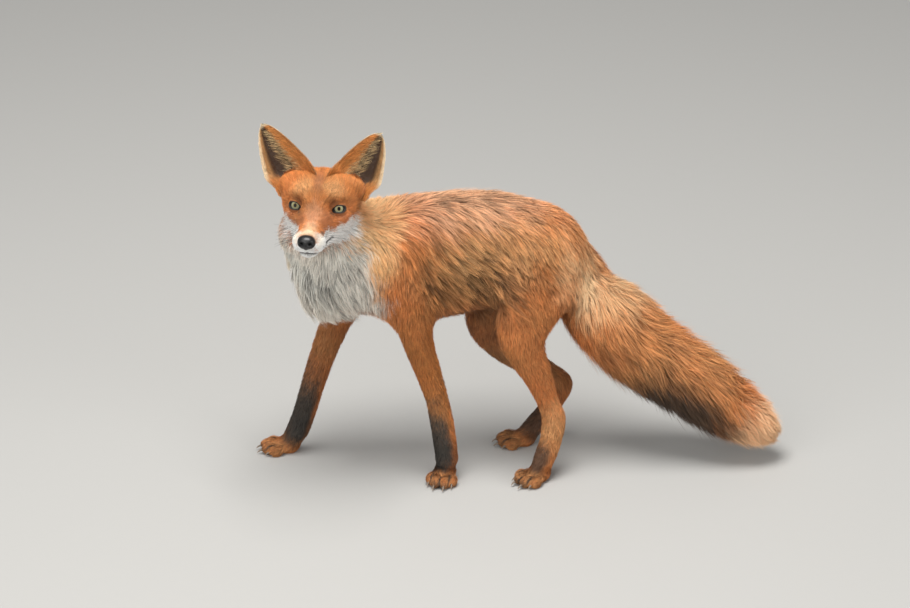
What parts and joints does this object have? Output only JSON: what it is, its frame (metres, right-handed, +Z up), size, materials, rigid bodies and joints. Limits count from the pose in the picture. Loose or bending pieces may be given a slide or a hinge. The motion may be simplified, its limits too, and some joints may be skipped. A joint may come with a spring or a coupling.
{
  "type": "red fox",
  "caption": "Still, life-size red fox standing on its paws, body side-on with the head turned to look over its left side and the brush lowered behind.",
  "frame": {"origin": "on the floor, below the middle of the model's box", "axes": "+Z up; the trunk runs along X with the breast towards -X and the tail towards +X, so the fox's left side faces -Y"},
  "size_m": [0.6634, 0.2546, 0.4853],
  "materials": {
    "coat": "soft rufous fur with pale cheeks, throat and tail tip, and black stockings",
    "eye": "wet, glossy grey-olive iris with a black pupil",
    "nose": "moist black pebbled skin",
    "horn": "smooth worn claw"
  },
  "bodies": {
    "root": {"ear_left": "coat", "ear_right": "coat", "eye_left": "eye", "eye_right": "eye", "foreleg_left_lower": "coat", "foreleg_left_upper": "coat", "foreleg_right_lower": "coat", "foreleg_right_upper": "coat", "forepaw_left": "coat", "forepaw_right": "coat", "head": "coat", "hindleg_left_foot": "coat", "hindleg_left_shank": "coat", "hindleg_left_thigh": "coat", "hindleg_right_foot": "coat", "hindleg_right_shank": "coat", "hindleg_right_thigh": "coat", "hindpaw_left": "coat", "hindpaw_right": "coat", "neck": "coat", "nose": "nose", "tail_base": "coat", "tail_brush": "coat", "tail_tip": "coat", "trunk": "coat"}
  },
  "joints": []
}
